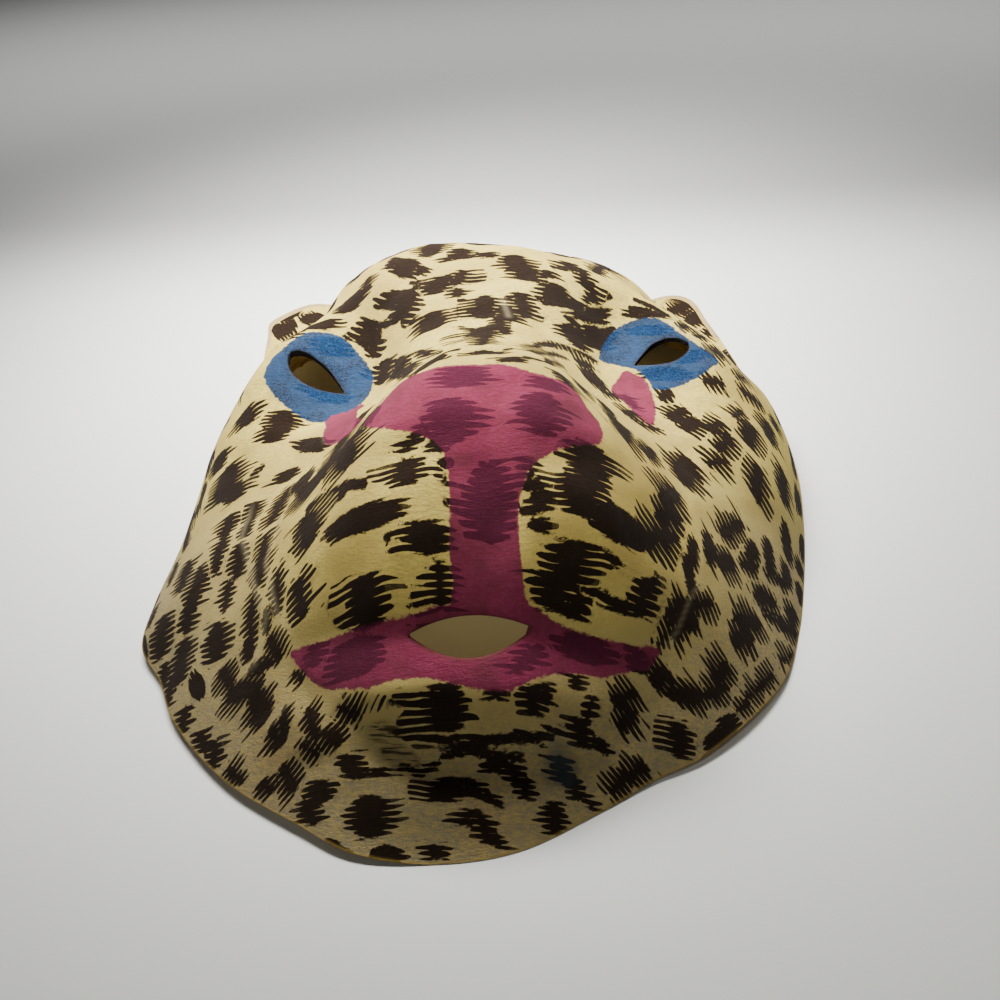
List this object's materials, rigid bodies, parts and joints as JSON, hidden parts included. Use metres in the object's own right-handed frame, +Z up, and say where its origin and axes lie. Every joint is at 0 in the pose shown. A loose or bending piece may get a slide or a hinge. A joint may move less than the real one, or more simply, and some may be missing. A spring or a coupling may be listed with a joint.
{
  "type": "animal face mask",
  "caption": "Moulded plush big-cat face mask with spotted print, raised muzzle, small ears, and eye and mouth holes, lying face up on its rim.",
  "frame": {"origin": "centre of the footprint's bounding box, on the plane that the rim rests on", "axes": "+Z up out of the face and away from the wearer, +Y towards the forehead, -Y the chin, -X the side that is on the left when the mask is looked at from the front"},
  "size_m": [0.2458, 0.2766, 0.0903],
  "materials": {
    "printed_plush": "short-nap plush felt, cream with dark brown printed spots, painted blue round the eyes and pink on nose, philtrum and lips"
  },
  "bodies": {
    "root": {"mask_shell": "printed_plush"}
  },
  "joints": []
}
